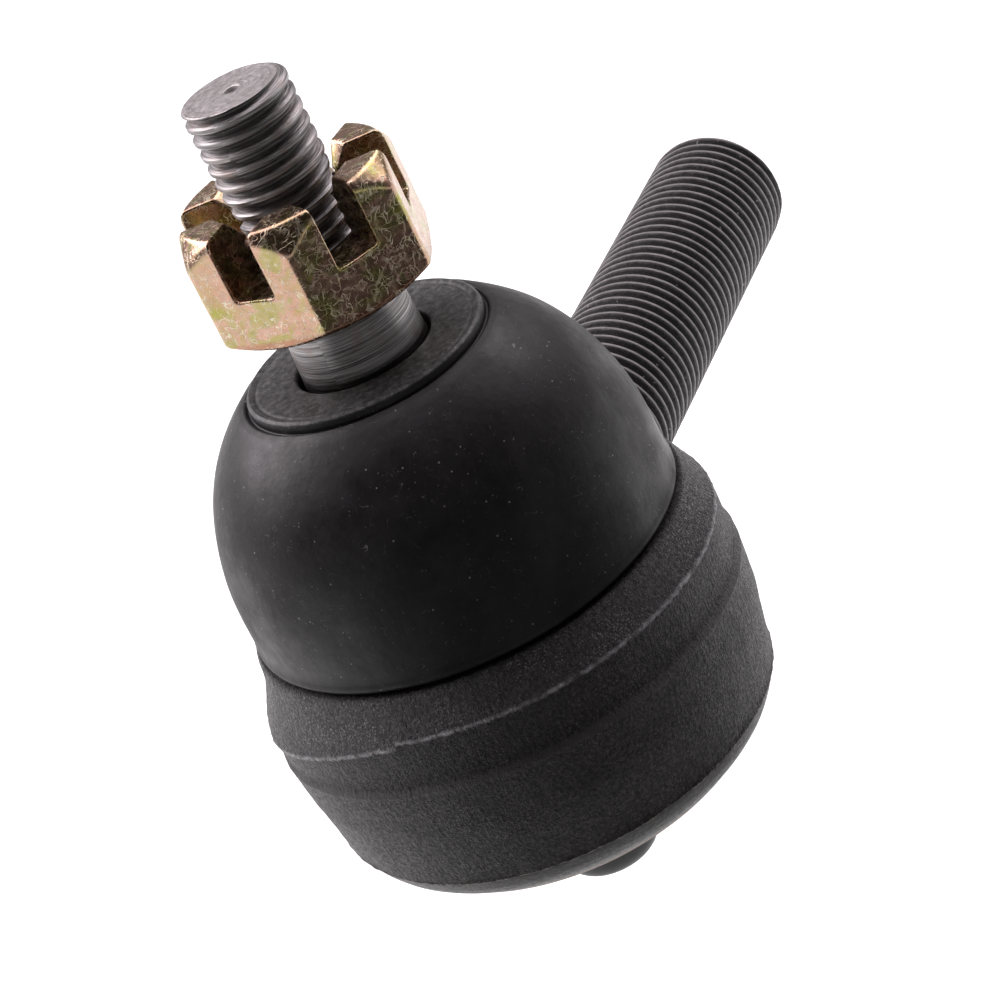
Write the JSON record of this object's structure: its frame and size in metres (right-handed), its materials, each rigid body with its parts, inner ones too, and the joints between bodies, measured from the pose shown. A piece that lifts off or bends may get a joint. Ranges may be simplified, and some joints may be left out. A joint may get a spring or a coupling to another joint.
{
  "type": "tie rod end",
  "caption": "Greasable ball joint with a male threaded shank, a tapered stud, a slotted nut and a rubber dust boot, for a steering linkage.",
  "frame": {"origin": "centre of the stud's ball", "axes": "+Z along the ball stud towards its threaded end, +X along the threaded shank away from the ball"},
  "size_m": [0.1059, 0.0494, 0.0898],
  "materials": {
    "forged_black": "black coated rough forging, thread crests rubbed bright",
    "plate_black": "black coated pressed steel",
    "turned_steel": "bare turned and rolled steel with fine lathe lines",
    "yellow_zinc": "yellow passivated zinc plating with pink and green tints",
    "boot_rubber": "matt black moulded rubber",
    "cap_rubber": "smooth satin black rubber",
    "bearing_plastic": "natural bearing plastic",
    "spring_steel": "plain spring steel",
    "fitting_zinc": "bright zinc plated steel"
  },
  "bodies": {
    "housing": {"housing": "forged_black", "cover_plate": "plate_black", "upper_bearing_seat": "bearing_plastic", "lower_bearing_seat": "bearing_plastic", "preload_spring": "spring_steel", "grease_fitting_body": "fitting_zinc", "grease_check_spring": "spring_steel"},
    "boot": {"dust_boot": "boot_rubber", "boot_base_ring": "spring_steel"},
    "boot_lip": {"boot_lip_ring": "spring_steel"},
    "stud": {"ball_stud": "turned_steel"},
    "nut": {"castle_nut": "yellow_zinc"},
    "check_ball": {"grease_check_ball": "spring_steel"},
    "fitting_cap": {"grease_fitting_cap": "cap_rubber"}
  },
  "joints": [
    {"name": "lean_direction", "type": "hinge", "parent": "housing", "child": "boot", "pos_m": [0, 0, 0], "axis": [0, 0, 1], "continuous": true},
    {"name": "stud_lean", "type": "hinge", "parent": "boot", "child": "boot_lip", "pos_m": [0, 0, 0], "axis": [0, 1, 0], "range_deg": [-20, 20], "deforming": ["dust_boot"]},
    {"name": "stud_spin", "type": "hinge", "parent": "boot_lip", "child": "stud", "pos_m": [0, 0, 0], "axis": [0, 0, 1], "continuous": true},
    {"name": "nut_turn", "type": "hinge", "parent": "stud", "child": "nut", "pos_m": [0, 0, 0.0437], "axis": [0, 0, 1], "continuous": true},
    {"name": "check_ball_lift", "type": "slide", "parent": "housing", "child": "check_ball", "axis": [0, 0, 1], "range_m": [0, 0.0012], "stiffness_N_per_m": 400, "springref_m": -0.001, "deforming": ["grease_check_spring"]},
    {"name": "cap_pull", "type": "slide", "parent": "housing", "child": "fitting_cap", "axis": [0, 0, -1], "range_m": [0, 0.008]}
  ]
}
